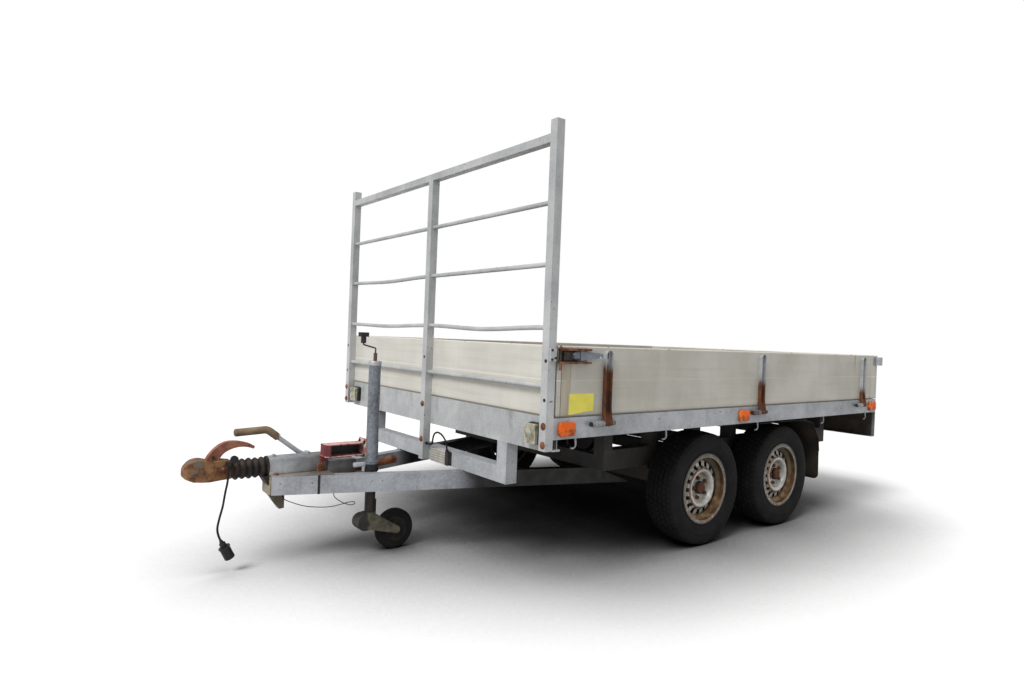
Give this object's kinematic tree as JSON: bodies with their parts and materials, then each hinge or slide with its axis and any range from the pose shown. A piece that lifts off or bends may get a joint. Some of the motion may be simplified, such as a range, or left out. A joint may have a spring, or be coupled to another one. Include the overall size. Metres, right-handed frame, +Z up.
{
  "type": "twin-axle drop-side flatbed trailer",
  "caption": "Twin-axle drop-side flatbed trailer with a ladder rack at the front, an overrun coupling and a jockey wheel, parked on its wheels.",
  "frame": {"origin": "on the floor, below the middle of the whole trailer's length and width", "axes": "+X forwards to the coupling, +Y to the trailer's left, +Z up"},
  "size_m": [4.068, 1.995, 1.9],
  "materials": {
    "galvanised_steel": "weathered hot-dip galvanised steel",
    "aluminium_board": "weathered anodised aluminium profile",
    "rusty_steel": "rusted steel",
    "wheel_paint": "silver wheel paint with dirt and rust",
    "tyre_rubber": "worn, dusty tread rubber",
    "dark_steel": "dull black steel",
    "red_paint": "worn red paint",
    "black_rubber": "matt black rubber",
    "black_plastic": "matt black plastic",
    "amber_lens": "amber lens",
    "red_lens": "red lens",
    "grey_plastic": "dirty pale grey plastic",
    "deck_board": "brown film-faced plywood",
    "cast_aluminium": "dirty cast aluminium"
  },
  "bodies": {
    "trailer": {"side_rails": "galvanised_steel", "front_sill": "galvanised_steel", "light_bar": "galvanised_steel", "joists": "galvanised_steel", "legs": "galvanised_steel", "chassis_rails": "galvanised_steel", "cross_tubes": "galvanised_steel", "drawbar": "galvanised_steel", "overrun_housing": "galvanised_steel", "front_axle": "galvanised_steel", "rear_axle": "galvanised_steel", "hinge_pins": "galvanised_steel", "lashing_hooks": "galvanised_steel", "jockey_clamp": "galvanised_steel", "rack_frame": "galvanised_steel", "rack_bars": "galvanised_steel", "jockey_tube": "galvanised_steel", "brake_lever": "galvanised_steel", "front_board": "aluminium_board", "floor": "deck_board", "coupling_head": "rusty_steel", "coupling_handle": "rusty_steel", "brake_damper": "rusty_steel", "jockey_crank": "dark_steel", "mudguards": "dark_steel", "bellows": "black_rubber", "plug_cable": "black_rubber", "breakaway_wire": "black_rubber", "plug": "black_plastic", "cable_clip": "black_plastic", "clamp_arm": "red_paint", "side_lamps": "amber_lens", "rear_lamps": "red_lens", "front_lamps": "grey_plastic", "junction_box": "grey_plastic"},
    "left_board": {"left_board": "aluminium_board", "left_straps": "galvanised_steel", "left_latch": "galvanised_steel"},
    "right_board": {"right_board": "aluminium_board", "right_straps": "galvanised_steel", "right_latch": "galvanised_steel"},
    "tailboard": {"tailboard": "aluminium_board", "tail_straps": "galvanised_steel", "tailboard_catches": "galvanised_steel"},
    "jockey_fork": {"jockey_fork": "cast_aluminium", "jockey_stem": "dark_steel"},
    "jockey_wheel": {"jockey_wheel": "tyre_rubber"},
    "front_left_wheel": {"front_left_tyre": "tyre_rubber", "front_left_rim": "wheel_paint", "front_left_hub": "rusty_steel"},
    "front_right_wheel": {"front_right_tyre": "tyre_rubber", "front_right_rim": "wheel_paint", "front_right_hub": "rusty_steel"},
    "rear_left_wheel": {"rear_left_tyre": "tyre_rubber", "rear_left_rim": "wheel_paint", "rear_left_hub": "rusty_steel"},
    "rear_right_wheel": {"rear_right_tyre": "tyre_rubber", "rear_right_rim": "wheel_paint", "rear_right_hub": "rusty_steel"}
  },
  "joints": [
    {"name": "left_board_hinge", "type": "hinge", "parent": "trailer", "child": "left_board", "pos_m": [0, 0.985, 0.68], "axis": [-1, 0, 0], "range_deg": [0, 180]},
    {"name": "right_board_hinge", "type": "hinge", "parent": "trailer", "child": "right_board", "pos_m": [0, -0.985, 0.68], "axis": [1, 0, 0], "range_deg": [0, 180]},
    {"name": "tailboard_hinge", "type": "hinge", "parent": "trailer", "child": "tailboard", "pos_m": [-2.016, 0, 0.68], "axis": [0, -1, 0], "range_deg": [0, 180]},
    {"name": "jockey_swivel", "type": "hinge", "parent": "trailer", "child": "jockey_fork", "pos_m": [1.255, 0.11912, 0.4], "axis": [0, 0, 1], "continuous": true},
    {"name": "jockey_wheel_spin", "type": "hinge", "parent": "jockey_fork", "child": "jockey_wheel", "pos_m": [1.126, 0.11912, 0.0935], "axis": [0, 1, 0], "continuous": true},
    {"name": "front_left_wheel_spin", "type": "hinge", "parent": "trailer", "child": "front_left_wheel", "pos_m": [-0.236, 0.8225, 0.29], "axis": [0, 1, 0], "continuous": true},
    {"name": "front_right_wheel_spin", "type": "hinge", "parent": "trailer", "child": "front_right_wheel", "pos_m": [-0.236, -0.8225, 0.29], "axis": [0, 1, 0], "continuous": true},
    {"name": "rear_left_wheel_spin", "type": "hinge", "parent": "trailer", "child": "rear_left_wheel", "pos_m": [-0.958, 0.8225, 0.29], "axis": [0, 1, 0], "continuous": true},
    {"name": "rear_right_wheel_spin", "type": "hinge", "parent": "trailer", "child": "rear_right_wheel", "pos_m": [-0.958, -0.8225, 0.29], "axis": [0, 1, 0], "continuous": true}
  ]
}
